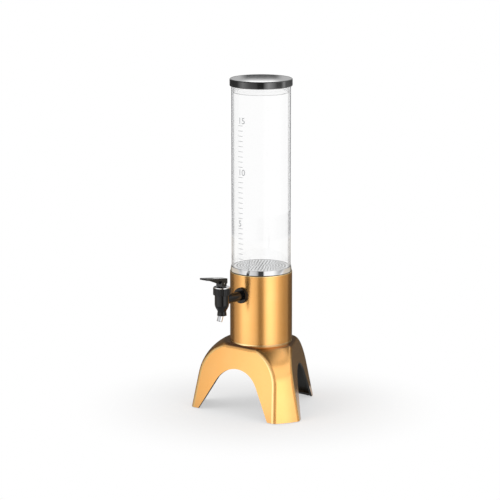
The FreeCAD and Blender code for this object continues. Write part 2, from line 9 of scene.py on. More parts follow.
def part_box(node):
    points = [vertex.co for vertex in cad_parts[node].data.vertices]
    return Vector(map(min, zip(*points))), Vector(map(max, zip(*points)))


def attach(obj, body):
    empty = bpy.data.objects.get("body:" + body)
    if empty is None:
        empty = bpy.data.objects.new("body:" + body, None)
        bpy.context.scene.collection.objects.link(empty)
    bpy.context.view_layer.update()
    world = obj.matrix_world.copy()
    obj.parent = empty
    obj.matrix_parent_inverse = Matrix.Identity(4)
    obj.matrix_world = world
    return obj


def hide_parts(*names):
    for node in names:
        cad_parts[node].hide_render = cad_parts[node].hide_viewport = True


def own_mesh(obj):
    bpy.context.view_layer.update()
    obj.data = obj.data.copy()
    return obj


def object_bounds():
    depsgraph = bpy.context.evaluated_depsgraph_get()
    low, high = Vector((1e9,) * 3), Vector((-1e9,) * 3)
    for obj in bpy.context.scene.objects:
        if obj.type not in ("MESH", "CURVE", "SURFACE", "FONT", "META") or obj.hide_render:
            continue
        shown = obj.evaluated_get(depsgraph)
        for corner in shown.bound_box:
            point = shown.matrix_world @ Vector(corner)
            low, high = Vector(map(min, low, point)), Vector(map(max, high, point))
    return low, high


# Beer tower dispenser, dressed: a material for each node, finer pieces in place of six of them, the
# print on the tube, and a studio at the photograph's view. Metres, +Z up.

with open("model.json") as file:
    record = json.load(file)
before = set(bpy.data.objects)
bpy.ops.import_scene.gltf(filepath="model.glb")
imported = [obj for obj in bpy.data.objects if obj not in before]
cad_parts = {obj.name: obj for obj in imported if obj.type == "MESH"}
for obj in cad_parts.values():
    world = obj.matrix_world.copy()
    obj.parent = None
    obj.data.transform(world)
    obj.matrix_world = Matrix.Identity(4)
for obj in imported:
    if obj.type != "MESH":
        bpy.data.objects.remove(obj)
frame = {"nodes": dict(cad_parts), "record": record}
cad_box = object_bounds()
nodes = frame["nodes"]
SLOTS = {row["node"]: row["material_slot"] for row in frame["record"]["subparts"]}
MM = 0.001

# ---------------------------------------------------------------- places, read from the frame


def outer_r(node):
    """Outer radius of a node that is round about the tower's axis."""
    low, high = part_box(node)
    return (high.x - low.x) / 2


tube_low, tube_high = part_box("beer_tube")
sleeve_low, sleeve_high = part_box("body_sleeve")
disc_low, disc_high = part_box("lid_disc")
AXIS = Vector(((tube_low.x + tube_high.x) / 2, (tube_low.y + tube_high.y) / 2, 0))
TUBE_R = outer_r("beer_tube")
SLEEVE_R = outer_r("body_sleeve")
DECK_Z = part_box("tripod_base")[1].z     # the base's top, in which the body stands

# ---------------------------------------------------------------- the photograph's view

CAMERA_AZIMUTH_DEG = -51.5      # where the camera stands round the tower; the tap is at -90
CAMERA_DISTANCE = 3.6
CAMERA_HEIGHT = 0.983
CAMERA_TILT = 0.2018            # radians below the horizon
FOCAL_PX = 2409.8
FRAME_PX = 500
AXIS_PX = 261.1                 # the tower's axis in the frame
SENSOR = 36.0


def round_tower(azimuth_deg, distance, height):
    """A point round the tower, by its angle to the right of the camera, seen from above."""
    turn = math.radians(CAMERA_AZIMUTH_DEG + azimuth_deg)
    return Vector((AXIS.x + distance * math.cos(turn), AXIS.y + distance * math.sin(turn), height))


def make_camera():
    """The camera of the photograph: level roll, tilted down, its shift only what the framing needs."""
    data = bpy.data.cameras.new("camera")
    data.sensor_width = SENSOR
    data.lens = FOCAL_PX * SENSOR / FRAME_PX
    data.shift_x = -(AXIS_PX - FRAME_PX / 2) / FRAME_PX
    camera = bpy.data.objects.new("camera", data)
    camera.location = round_tower(0, CAMERA_DISTANCE, CAMERA_HEIGHT)
    camera.rotation_euler = (math.pi / 2 - CAMERA_TILT, 0, math.radians(CAMERA_AZIMUTH_DEG) + math.pi / 2)
    bpy.context.scene.collection.objects.link(camera)
    bpy.context.scene.camera = camera


# ---------------------------------------------------------------- node helpers

def put(tree, kind, settings=None, inputs=None):
    """A new node, with its settings and its inputs, which are sockets to link or plain values."""
    node = tree.nodes.new("ShaderNode" + kind)
    for key, value in (settings or {}).items():
        setattr(node, key, value)
    for key, value in (inputs or {}).items():
        socket = node.inputs[key]
        if isinstance(value, bpy.types.NodeSocket):
            tree.links.new(value, socket)
        else:
            socket.default_value = (*value, 1) if socket.type == "RGBA" else value
    return node


def maths(tree, operation, *values):
    """The result of one Math node."""
    return put(tree, "Math", {"operation": operation}, dict(enumerate(values))).outputs[0]


def vectors(tree, operation, *values):
    """The result of one Vector Math node, which is a number for a length or a product."""
    node = put(tree, "VectorMath", {"operation": operation}, dict(enumerate(values)))
    number = operation in ("LENGTH", "DISTANCE", "DOT_PRODUCT")
    return node.outputs["Value" if number else "Vector"]


def parts(tree, vector):
    """A vector's X, Y and Z."""
    return put(tree, "SeparateXYZ", None, {0: vector}).outputs


def spread(tree, value, low, high, start=0.0, end=1.0, smooth=False):
    """Turns a value that runs from start to end into one that runs from low to high."""
    kind = "SMOOTHSTEP" if smooth else "LINEAR"
    return put(tree, "MapRange", {"interpolation_type": kind}, {
        "Value": value, "From Min": start, "From Max": end, "To Min": low, "To Max": high,
    }).outputs["Result"]


def place(tree):
    """The point on the piece, in metres, which moves with the piece."""
    return put(tree, "TexCoord").outputs["Object"]


def from_axis(tree, point):
    """The level vector from the tower's axis to a point."""
    return vectors(tree, "MULTIPLY", vectors(tree, "SUBTRACT", point, AXIS), (1, 1, 0))


def grain(tree, size, detail):
    """Noise from 0 to 1 whose features are about one size, in metres."""
    where = put(tree, "Mapping", None, {"Vector": place(tree), "Scale": [1 / size] * 3})
    noise = put(tree, "TexNoise", None, {"Vector": where.outputs[0], "Scale": 1.0, "Detail": detail})
    return noise.outputs["Fac"]


def tint(tree, share, first, second):
    """A colour between two, by a share from 0 to 1. Each is a plain colour or a socket."""
    mix = put(tree, "Mix", {"data_type": "RGBA"}, {"Factor": share})
    for end, colour in zip([s for s in mix.inputs if s.type == "RGBA"], (first, second)):
        if isinstance(colour, bpy.types.NodeSocket):
            tree.links.new(colour, end)
        else:
            end.default_value = (*colour, 1)
    return next(s for s in mix.outputs if s.type == "RGBA")


def bumped(tree, height, depth):
    """A normal from a height of 0 to 1 that stands for a depth in metres."""
    return put(tree, "Bump", None, {"Height": height, "Distance": depth, "Strength": 1.0}).outputs["Normal"]


def mixed(tree, share, first, second):
    """A shader between two, by a share from 0 to 1."""
    return put(tree, "MixShader", None, {0: share, 1: first, 2: second}).outputs[0]


def glow(tree, colour, level):
    """A shader that gives off light."""
    return put(tree, "Emission", None, {"Color": colour, "Strength": level}).outputs[0]


# ---------------------------------------------------------------- material helpers

def material(name, **sockets):
    """A Principled material with plain values on its sockets. Returns it with its tree and shader."""
    made = bpy.data.materials.new(name)
    made.use_nodes = True
    shader = made.node_tree.nodes["Principled BSDF"]
    for key, value in sockets.items():
        shader.inputs[key.replace("_", " ")].default_value = value
    return made, made.node_tree, shader


def feed(tree, shader, **sockets):
    """Links sockets to a shader's inputs."""
    for key, value in sockets.items():
        tree.links.new(value, shader.inputs[key.replace("_", " ")])


def fed(shader, key):
    """What is linked to a shader's input so far."""
    return shader.inputs[key].links[0].from_socket


def varied(tree, shader, cloud, colour, dull, gloss, roughness, swing):
    """Lets a cloud darken the colour to a share of it, and the gloss swing about its roughness."""
    feed(tree, shader,
         Base_Color=tint(tree, cloud, colour, tuple(c * dull for c in colour)),
         Roughness=spread(tree, gloss, roughness * (1 - swing), roughness * (1 + swing)))


def cover(made, share, colour, roughness):
    """Lays a plain finish over a material where a share is 1."""
    tree = made.node_tree
    plain = put(tree, "BsdfPrincipled", None, {"Base Color": colour, "Roughness": roughness})
    shader = tree.nodes["Principled BSDF"]
    tree.links.new(mixed(tree, share, shader.outputs[0], plain.outputs[0]),
                   tree.nodes["Material Output"].inputs["Surface"])
    return made


# ---------------------------------------------------------------- materials

GOLD = (0.9, 0.49, 0.158)
GOLD_DEEP = (0.91, 0.45, 0.12)      # where the lacquer lies thicker
GOLD_RIM_HIGHLIGHT = (1.0, 0.74, 0.36)        # painted highlight on the body's rims, in a paler gold
GOLD_EDGE_HIGHLIGHT = (1.0, 0.7, 0.3)         # painted highlight on the base's rounded edges, towards its flat sides
GOLD_PAINTED_SHADE = (0.34, 0.15, 0.05)      # painted shade where the base's deck meets the body
CLOUD = 25 * MM                     # sizes of the lacquer's cloudiness, flake and orange peel
FLAKE = 0.25 * MM
PEEL = 2.2 * MM
FLAKE_SWING = 0.03                  # in roughness


def gold_lacquer(name, roughness, peel_depth):
    """Satin gold lacquer over moulded or spun metal: slight cloudiness, fine flake and orange peel."""
    made, tree, shader = material(name, Metallic=1.0, Coat_Weight=0.7, Coat_Roughness=0.12)
    feed(tree, shader,
         Base_Color=tint(tree, grain(tree, CLOUD, 3), GOLD, GOLD_DEEP),
         Roughness=spread(tree, grain(tree, FLAKE, 1), roughness - FLAKE_SWING, roughness + FLAKE_SWING),
         Normal=bumped(tree, grain(tree, PEEL, 2), peel_depth))
    return made, tree, shader


BARE_PLASTIC = (0.02, 0.02, 0.018)
INWARD = -0.12                  # faces whose normal turns further to the axis are inside the base
DOWNWARD = -0.8                 # and so are faces whose normal points further down
PAINTED_SHADE_OUT = (SLEEVE_R + 6 * MM, SLEEVE_R + 16 * MM)      # radii over which the painted shade fades
PAINTED_SHADE_UP = (DECK_Z - 5 * MM, DECK_Z - 2 * MM)            # and heights over which it comes in
# The sine of three times the normal's turn is 1 on a flat side, 0 on a rounded edge, -1 on a leg.
EDGE_DULL = 0.3                 # how much rougher the lacquer is on an edge
EDGE_FOLD = (0.25, 0.7)
# The fold over which the painted highlight on the edges comes in
EDGE_HIGHLIGHT_FOLD = (0.2, 0.5)
FLAT_FOLD = 0.985
STEEP = (0.3, 0.6)              # the normal's rise over which an edge's extra roughness and painted highlight fade out


def gold_base():
    """Gold outside, with more roughness and a painted highlight on its edges, painted shade round the
    body's foot, and the bare dark moulding on the faces that look inwards.
    """
    made, tree, shader = gold_lacquer("gold_base", 0.24, 0.005 * MM)
    geometry = put(tree, "NewGeometry").outputs
    away = from_axis(tree, geometry["Position"])

    # Painted shade on the deck round the body's foot
    near = spread(tree, vectors(tree, "LENGTH", away), 1, 0, *PAINTED_SHADE_OUT, smooth=True)
    high = spread(tree, parts(tree, geometry["Position"])["Z"], 0, 1, *PAINTED_SHADE_UP, smooth=True)
    painted_shade = maths(tree, "MULTIPLY", near, high)
    feed(tree, shader, Base_Color=tint(tree, painted_shade, fed(shader, "Base Color"), GOLD_PAINTED_SHADE))

    normal = parts(tree, geometry["Normal"])
    turn = maths(tree, "ARCTAN2", normal["Y"], normal["X"])
    fold = maths(tree, "SINE", maths(tree, "MULTIPLY", turn, 3.0))
    steep = spread(tree, normal["Z"], 1, 0, *STEEP, smooth=True)
    dull = spread(tree, maths(tree, "ABSOLUTE", fold), EDGE_DULL, 0, *EDGE_FOLD, smooth=True)
    dull = maths(tree, "MULTIPLY", dull, steep)
    feed(tree, shader, Roughness=maths(tree, "ADD", fed(shader, "Roughness"), dull))
    # Painted highlight on the rounded edges next to the flat sides, not on the flat sides themselves
    edge_highlight = maths(tree, "SUBTRACT", spread(tree, fold, 0, 1, *EDGE_HIGHLIGHT_FOLD, smooth=True),
                 maths(tree, "GREATER_THAN", fold, FLAT_FOLD))
    edge_highlight = maths(tree, "MULTIPLY", edge_highlight, steep)
    feed(tree, shader, Base_Color=tint(tree, edge_highlight, fed(shader, "Base Color"), GOLD_EDGE_HIGHLIGHT))

    facing = geometry["True Normal"]
    outward = vectors(tree, "DOT_PRODUCT", vectors(tree, "NORMALIZE", away), facing)
    inside = maths(tree, "MAXIMUM", maths(tree, "LESS_THAN", outward, INWARD),
                   maths(tree, "LESS_THAN", parts(tree, facing)["Z"], DOWNWARD))
    return cover(made, inside, BARE_PLASTIC, 0.5)


RIM_HIGHLIGHT_BELOW = DECK_Z + 1.8 * MM   # the painted highlights on the body's rims lie below and above these heights
RIM_HIGHLIGHT_ABOVE = sleeve_high.z - 1.2 * MM


def gold_sleeve():
    """Gold over a smooth metal tube, with a painted highlight on the rim at each end."""
    made, tree, shader = gold_lacquer("gold_sleeve", 0.27, 0.001 * MM)
    height = parts(tree, place(tree))["Z"]
    # Painted highlight on both rims
    rim = maths(tree, "MAXIMUM", maths(tree, "LESS_THAN", height, RIM_HIGHLIGHT_BELOW),
                maths(tree, "GREATER_THAN", height, RIM_HIGHLIGHT_ABOVE))
    feed(tree, shader, Base_Color=tint(tree, rim, fed(shader, "Base Color"), GOLD_RIM_HIGHLIGHT))
    return made


def moulded(name, colour, roughness, depth=0.01 * MM, ior=1.5, coat=0.0):
    """Moulded plastic or rubber: a fine tool texture and a little unevenness in its gloss."""
    made, tree, shader = material(name, IOR=ior, Coat_Weight=coat)
    uneven = grain(tree, 6 * MM, 3)
    varied(tree, shader, uneven, colour, 0.7, uneven, roughness, 0.15)
    feed(tree, shader, Normal=bumped(tree, grain(tree, 0.5 * MM, 2), depth))
    return made


def metal(name, colour, roughness, depth=0.002 * MM):
    """Bare or plated metal with a fine grain."""
    made, tree, shader = material(name, Metallic=1.0)
    fine = grain(tree, 0.15 * MM, 2)
    varied(tree, shader, grain(tree, 8 * MM, 2), colour, 0.92, fine, roughness, 0.2)
    feed(tree, shader, Normal=bumped(tree, fine, depth))
    return made


def turned_metal(name, colour, roughness, ring, depth):
    """Metal with fine concentric lines about the tower's axis, as if spun."""
    made, tree, shader = material(name, Metallic=1.0)
    radius = vectors(tree, "LENGTH", from_axis(tree, place(tree)))
    rings = put(tree, "TexNoise", {"noise_dimensions": "1D"}, {
        "W": maths(tree, "DIVIDE", radius, ring), "Scale": 1.0, "Detail": 3.0,
    }).outputs["Fac"]
    varied(tree, shader, rings, colour, 0.8, rings, roughness, 0.2)
    feed(tree, shader, Normal=bumped(tree, rings, depth))
    return made


HOLES_R = outer_r("strainer_plate") - 2.5 * MM          # the strainer's holes lie inside this
BORE_WALL = 0.5                 # a face whose normal rises less is the wall of a hole


def strainer_steel():
    """Spun steel with painted shade on the walls of its punched holes, where no light reaches."""
    made = turned_metal("strainer_steel", (0.78, 0.79, 0.8), 0.2, 0.3 * MM, 0.004 * MM)
    tree = made.node_tree
    rise = parts(tree, put(tree, "NewGeometry").outputs["True Normal"])["Z"]
    radius = vectors(tree, "LENGTH", from_axis(tree, place(tree)))
    # Painted shade, near black, on the walls of the holes
    hole_shade = maths(tree, "MULTIPLY", maths(tree, "LESS_THAN", maths(tree, "ABSOLUTE", rise), BORE_WALL),
                 maths(tree, "LESS_THAN", radius, HOLES_R))
    return cover(made, hole_shade, (0.01, 0.01, 0.01), 0.8)


CHROME = (0.88, 0.88, 0.89)
CHROME_DEPTH = 0.0003 * MM
FOOT_SHADE_LINE = sleeve_high.z + 0.9 * MM    # painted shade on the collar below this, where it meets the body


def collar_chrome():
    """Chrome plate with a line of painted shade at its foot, where it meets the body."""
    made = metal("collar_chrome", CHROME, 0.05, CHROME_DEPTH)
    height = parts(made.node_tree, place(made.node_tree))["Z"]
    # Painted shade at the foot
    foot = maths(made.node_tree, "LESS_THAN", height, FOOT_SHADE_LINE)
    return cover(made, foot, (0.02, 0.016, 0.012), 0.5)


WHITE = (1, 1, 1)
EDGE_TONE = (0.14, 0.14, 0.15)  # clear plastic seen along its surface
EDGE_ASLANT = (0.63, 0.84)      # Layer Weight's Facing from which and up to which it takes that tone
ACRYLIC_ROUGHNESS = 0.004
LAMP_THROUGH = (0.96, 0.96, 0.96)   # what the wall lets through of a lamp's light
ACRYLIC_HAZE = (0.55, 0.57, 0.58)
HAZE_DENSITY = 5.0


def clear_acrylic():
    """Clear wall that lets the lamps through and greys where one looks along it."""
    made, tree, shader = material("clear_tube", Transmission_Weight=1.0, IOR=1.49)
    scuff = grain(tree, 12 * MM, 4)
    aslant = put(tree, "LayerWeight", None, {"Blend": 0.5}).outputs["Facing"]
    edge = spread(tree, aslant, 0, 1, *EDGE_ASLANT, smooth=True)
    feed(tree, shader,
         Base_Color=tint(tree, edge, WHITE, EDGE_TONE),
         Roughness=spread(tree, scuff, ACRYLIC_ROUGHNESS * 0.6, ACRYLIC_ROUGHNESS * 1.4))
    lamp = put(tree, "LightPath").outputs["Is Shadow Ray"]
    through = put(tree, "BsdfTransparent", None, {"Color": LAMP_THROUGH}).outputs[0]
    haze = put(tree, "VolumeAbsorption", None, {"Color": ACRYLIC_HAZE, "Density": HAZE_DENSITY}).outputs[0]
    output = tree.nodes["Material Output"]
    tree.links.new(mixed(tree, lamp, shader.outputs[0], through), output.inputs["Surface"])
    tree.links.new(haze, output.inputs["Volume"])
    return made


def silicone(name, colour, transmission, roughness, ior=1.41):
    """Soft translucent seal rubber."""
    made, tree, shader = material(name, IOR=ior, Transmission_Weight=transmission)
    uneven = grain(tree, 5 * MM, 2)
    varied(tree, shader, uneven, colour, 0.95, uneven, roughness, 0.2)
    return made


def printed_ink():
    """Grey screen print, a little uneven in its cover."""
    made, tree, shader = material("printed_ink")
    patchy = grain(tree, 1.5 * MM, 3)
    feed(tree, shader,
         Base_Color=tint(tree, patchy, (0.36, 0.37, 0.38), (0.5, 0.51, 0.52)),
         Roughness=spread(tree, patchy, 0.5, 0.7))
    return made


FINISHES = {
    "gold_base": gold_base(),
    "gold_sleeve": gold_sleeve(),
    "black_rubber": moulded("black_rubber", (0.008, 0.008, 0.008), 0.5, 0.02 * MM, ior=1.4),
    "seal_rubber": silicone("seal_rubber", (0.72, 0.72, 0.7), 0.3, 0.45),
    "zinc_screw": metal("zinc_screw", (0.62, 0.62, 0.64), 0.3),
    "black_cup": moulded("black_cup", (0.03, 0.03, 0.03), 0.4),
    "chrome_trim": metal("chrome_trim", CHROME, 0.05, CHROME_DEPTH),
    "strainer_steel": strainer_steel(),
    "clear_tube": clear_acrylic(),
    "gloss_black": moulded("gloss_black", (0.006, 0.006, 0.006), 0.1, 0.001 * MM, ior=1.9, coat=1.0),
    "brushed_disc": turned_metal("brushed_disc", (0.72, 0.72, 0.73), 0.1, 0.35 * MM, 0.0005 * MM),
    "clear_plug": silicone("clear_plug", (0.97, 0.97, 0.97), 1.0, 0.15, ior=1.07),
    "tap_black": moulded("tap_black", (0.006, 0.006, 0.007), 0.1, 0.003 * MM, ior=1.38),
    "nozzle_chrome": metal("nozzle_chrome", (0.82, 0.83, 0.85), 0.1, 0.0005 * MM),
    "lever_black": moulded("lever_black", (0.008, 0.008, 0.009), 0.14, 0.003 * MM),
}


def dress(obj, finish):
    """Gives a piece one finish."""
    obj.data.materials.clear()
    obj.data.materials.append(finish)


# ---------------------------------------------------------------- geometry helpers

SHARP_DEG = 35                  # edges steeper than this stay sharp
HOLD = 0.02 * MM                # a point this far beyond an arc keeps its shading off the straight
ARC_STEPS = 5
LATHE_STEPS = 256


def linked(name, data):
    """A new object in the scene."""
    obj = bpy.data.objects.new(name, data)
    bpy.context.scene.collection.objects.link(obj)
    return obj


def new_piece(name, mesh, slot, body, finish=None):
    """A piece of the object: its finish, that of its record slot unless one is given, and the body it rides
    on.
    """
    obj = linked(name, mesh)
    dress(obj, finish or FINISHES[slot])
    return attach(obj, body)


def plain_mesh(name, bm):
    """A mesh from a bmesh, which is freed."""
    mesh = bpy.data.meshes.new(name)
    bm.to_mesh(mesh)
    bm.free()
    return mesh


def smooth_mesh(name, bm):
    """A mesh with smooth faces, kept sharp over its steep edges."""
    bmesh.ops.recalc_face_normals(bm, faces=bm.faces)
    mesh = plain_mesh(name, bm)
    mesh.polygons.foreach_set("use_smooth", [True] * len(mesh.polygons))
    mesh.set_sharp_from_angle(angle=math.radians(SHARP_DEG))
    return mesh


def rounded(corners):
    """Closed outline through (u, v) corners, with an arc at each that also gives a radius."""
    outline = []
    for i, (u, v, *given) in enumerate(corners):
        here = Vector((u, v))
        if not given:
            outline.append(here)
            continue
        radius = given[0]
        back = (Vector(corners[i - 1][:2]) - here).normalized()
        ahead = (Vector(corners[(i + 1) % len(corners)][:2]) - here).normalized()
        half = back.angle(ahead) / 2
        centre = here + (back + ahead).normalized() * (radius / math.sin(half))
        start = here + back * (radius / math.tan(half)) - centre
        end = here + ahead * (radius / math.tan(half)) - centre
        turn = start.angle_signed(end)
        arc = [centre + Matrix.Rotation(-turn * k / ARC_STEPS, 2) @ start for k in range(ARC_STEPS + 1)]
        outline += [arc[0] + back * HOLD, *arc, arc[-1] + ahead * HOLD]
    return outline


def bridge(bm, ring, following):
    """Faces between two closed rings of as many points."""
    for k in range(len(ring)):
        n = (k + 1) % len(ring)
        bm.faces.new((ring[k], following[k], following[n], ring[n]))


def lathe(name, outline):
    """A closed outline of (radius, z) points turned about the tower's axis."""
    bm = bmesh.new()
    rings = []
    for i in range(LATHE_STEPS):
        turn = 2 * math.pi * i / LATHE_STEPS
        rings.append([
            bm.verts.new((AXIS.x + p[0] * math.cos(turn), AXIS.y + p[0] * math.sin(turn), p[1]))
            for p in outline
        ])
    for i, ring in enumerate(rings):
        bridge(bm, ring, rings[(i + 1) % LATHE_STEPS])
    bmesh.ops.remove_doubles(bm, verts=bm.verts, dist=1e-7)
    return smooth_mesh(name, bm)


# ---------------------------------------------------------------- pieces, sized as in the part's source

TUBE_WALL = 2.2 * MM
TUBE_EDGE = 0.4 * MM


def clear_tube():
    """The tube, with its rims rounded."""
    inner = TUBE_R - TUBE_WALL
    outline = rounded([
        (inner, tube_low.z, TUBE_EDGE), (TUBE_R, tube_low.z, TUBE_EDGE),
        (TUBE_R, tube_high.z, TUBE_EDGE), (inner, tube_high.z, TUBE_EDGE),
    ])
    tube = new_piece("clear_tube", lathe("clear_tube", outline), "clear_tube", "tower")
    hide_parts("beer_tube")


SLEEVE_WALL = 1.5 * MM
TAP_Z = 184 * MM
TAP_HOLE_R = 7.3 * MM
TAP_HOLE_SIDES = 64


def gold_sleeve_piece():
    """The body's tube with its rims rounded and the tap's hole through its wall."""
    edge = SLEEVE_WALL / 2
    outline = rounded([
        (SLEEVE_R - SLEEVE_WALL, sleeve_low.z), (SLEEVE_R, sleeve_low.z, edge),
        (SLEEVE_R, sleeve_high.z, edge), (SLEEVE_R - SLEEVE_WALL, sleeve_high.z),
    ])
    sleeve = new_piece("gold_sleeve", lathe("gold_sleeve", outline), "gold_sleeve", "tower")
    bm = bmesh.new()
    wall = Matrix.Translation((AXIS.x, AXIS.y - SLEEVE_R, TAP_Z))
    bmesh.ops.create_cone(
        bm, segments=TAP_HOLE_SIDES, radius1=TAP_HOLE_R, radius2=TAP_HOLE_R, depth=2 * SLEEVE_R,
        cap_ends=True, matrix=wall @ Matrix.Rotation(math.pi / 2, 4, "X"))
    drill = linked("drill", plain_mesh("drill", bm))
    cut = sleeve.modifiers.new("tap_hole", "BOOLEAN")
    cut.operation = "DIFFERENCE"
    cut.object = drill
    undrilled = sleeve.data
    sleeve.data = bpy.data.meshes.new_from_object(
        sleeve.evaluated_get(bpy.context.evaluated_depsgraph_get()))
    sleeve.modifiers.clear()
    sleeve.data.set_sharp_from_angle(angle=math.radians(SHARP_DEG))
    for mesh in (drill.data, undrilled):
        bpy.data.meshes.remove(mesh)
    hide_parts("body_sleeve")


COLLAR_BORE_R = 41.0 * MM       # through the ledge that the tube stands on
LEDGE_LOW = -1.0 * MM           # the ledge, from the body's top
LEDGE_HIGH = 1.2 * MM
SKIRT_BORE_R = 43.8 * MM
SKIRT_STEP = 1.0 * MM           # how far the skirt stands back from the collar's foot
COLLAR_WALL = 0.8 * MM          # at its top
COLLAR_FIT = 0.1 * MM           # round the tube
COLLAR_FOOT_EDGE = 0.15 * MM
COLLAR_TOP_EDGE = 0.4 * MM
COLLAR_BORE_EDGE = 0.1 * MM


def polished_collar():
    """The chromed ring, its visible edges rounded, with its ledge and its skirt inside the body."""
    low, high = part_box("chrome_collar")
    foot = sleeve_high.z
    outer = outer_r("chrome_collar")
    seat = TUBE_R + COLLAR_FIT
    outline = rounded([
        (COLLAR_BORE_R, foot + LEDGE_LOW), (SKIRT_BORE_R, foot + LEDGE_LOW), (SKIRT_BORE_R, low.z),
        (outer - SKIRT_STEP, low.z), (outer - SKIRT_STEP, foot), (outer, foot, COLLAR_FOOT_EDGE),
        (seat + COLLAR_WALL, high.z, COLLAR_TOP_EDGE), (seat, high.z, COLLAR_BORE_EDGE),
        (seat, foot + LEDGE_HIGH), (COLLAR_BORE_R, foot + LEDGE_HIGH),
    ])
    mesh = lathe("polished_collar", outline)
    collar = new_piece("polished_collar", mesh, "chrome_trim", "tower", collar_chrome())
    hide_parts("chrome_collar")


LID_PLATE = 2.4 * MM
LID_BAND = 11.0 * MM
LID_FIT = 0.3 * MM              # round the tube
LID_RIM = 2.0 * MM              # left round the disc
LID_EDGE = 1.1 * MM
LID_RIM_EDGE = 0.2 * MM
BOSS_R = 39.9 * MM              # the plug's seat under the plate
BOSS_WALL = 2.0 * MM
BOSS_HEIGHT = 6.0 * MM


def gloss_lid():
    """The lid, with a soft edge round its band, a boss for the plug and a seat for the disc."""
    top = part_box("lid_cap")[1].z
    band = outer_r("lid_cap")
    seat = disc_low.z
    under = seat - LID_PLATE
    outline = rounded([
        (0, under), (BOSS_R - BOSS_WALL, under), (BOSS_R - BOSS_WALL, under - BOSS_HEIGHT),
        (BOSS_R, under - BOSS_HEIGHT), (BOSS_R, under), (TUBE_R + LID_FIT, under),
        (TUBE_R + LID_FIT, top - LID_BAND), (band, top - LID_BAND, LID_EDGE), (band, top, LID_EDGE),
        (band - LID_RIM, top, LID_RIM_EDGE), (band - LID_RIM, seat), (0, seat),
    ])
    lid = new_piece("gloss_lid", lathe("gloss_lid", outline), "gloss_black", "lid")
    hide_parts("lid_cap")


DISC_DISH = 0.6 * MM            # how far the disc's middle lies below its rim
DISC_EDGE = 0.1 * MM
DISC_RIM = 0.3 * MM             # left flat
DISH_STEPS = 24


def dished_disc():
    """The lid's metal disc, very slightly dished."""
    radius = outer_r("lid_disc")
    outline = [
        (0, disc_low.z), (radius, disc_low.z), (radius, disc_high.z - DISC_EDGE),
        (radius - DISC_EDGE, disc_high.z),
    ]
    for k in range(DISH_STEPS + 1):
        share = 1 - k / DISH_STEPS
        outline.append(((radius - DISC_RIM) * share, disc_high.z - DISC_DISH * (1 - share ** 2)))
    disc = new_piece("brushed_disc", lathe("brushed_disc", outline), "brushed_disc", "lid")
    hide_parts("lid_disc")


SPRING_WIRE_R = 0.5 * MM
SPRING_MEAN_R = 4.7 * MM
SPRING_TURNS = 6
COIL_STEPS = 32                 # in each turn
WIRE_SIDES = 12


def coil_spring():
    """The valve's spring, a coil of round wire as long as its node."""
    low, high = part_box("valve_spring")
    middle = (low + high) / 2
    length = high.z - low.z
    count = SPRING_TURNS * COIL_STEPS
    bm = bmesh.new()
    rings = []
    for i in range(count + 1):
        turn = 2 * math.pi * i / COIL_STEPS
        out = Vector((math.cos(turn), math.sin(turn), 0))
        centre = middle + out * SPRING_MEAN_R
        centre.z = low.z + SPRING_WIRE_R + (length - 2 * SPRING_WIRE_R) * i / count
        rings.append([
            bm.verts.new(centre + SPRING_WIRE_R * (out * math.cos(a) + Vector((0, 0, math.sin(a)))))
            for a in (2 * math.pi * k / WIRE_SIDES for k in range(WIRE_SIDES))
        ])
    for ring, following in zip(rings, rings[1:]):
        bridge(bm, ring, following)
    bm.faces.new(rings[0])
    bm.faces.new(rings[-1])
    spring = new_piece("coil_spring", smooth_mesh("coil_spring", bm), SLOTS["valve_spring"], "tower")
    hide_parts("valve_spring")
    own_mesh(spring)


# The printed scale: ticks up the tube with a number at every tenth one
SCALE_AZIMUTH_DEG = -101.0      # left end of the ticks, seen from outside
SCALE_LOW = 239 * MM
SCALE_PITCH = 7.83 * MM
SCALE_TICKS = 28
FIRST_NUMBER = 7                # ticks below the first number
NUMBER_STEP = 10
SCALE_NUMBERS = ("5", "10", "15")
TICK_LENGTH = 9 * MM
TICK_HEIGHT = 0.7 * MM
NUMBER_HEIGHT = 9.5 * MM
DIGIT_SHARE = 0.7               # how tall the font's digits are, by its size
CURVE_STEPS = 6
INK = 0.03 * MM                 # thickness of the print
BEND_STEP = 0.8 * MM            # widest stretch of print left flat


def wrapped(bm):
    """Wraps flat print, x along the girth and y up, round the outside of the tube."""
    low = min(v.co.x for v in bm.verts)
    high = max(v.co.x for v in bm.verts)
    for k in range(1, int((high - low) / BEND_STEP) + 1):
        everything = bm.verts[:] + bm.edges[:] + bm.faces[:]
        bmesh.ops.bisect_plane(
            bm, geom=everything, dist=1e-7, plane_co=(low + k * BEND_STEP, 0, 0), plane_no=(1, 0, 0))
    for v in bm.verts:
        turn = math.radians(SCALE_AZIMUTH_DEG) + v.co.x / TUBE_R
        out = TUBE_R + v.co.z
        v.co = Vector((AXIS.x + out * math.cos(turn), AXIS.y + out * math.sin(turn), v.co.y))
    return bm


def number_mesh(text):
    """Flat solid of a number, INK thick, its left foot at the origin."""
    curve = bpy.data.curves.new("number", "FONT")
    curve.body = text
    curve.size = NUMBER_HEIGHT / DIGIT_SHARE
    curve.extrude = INK / 2
    curve.resolution_u = CURVE_STEPS
    obj = linked("number", curve)
    mesh = bpy.data.meshes.new_from_object(obj.evaluated_get(bpy.context.evaluated_depsgraph_get()))
    bpy.data.objects.remove(obj)
    bpy.data.curves.remove(curve)
    return mesh


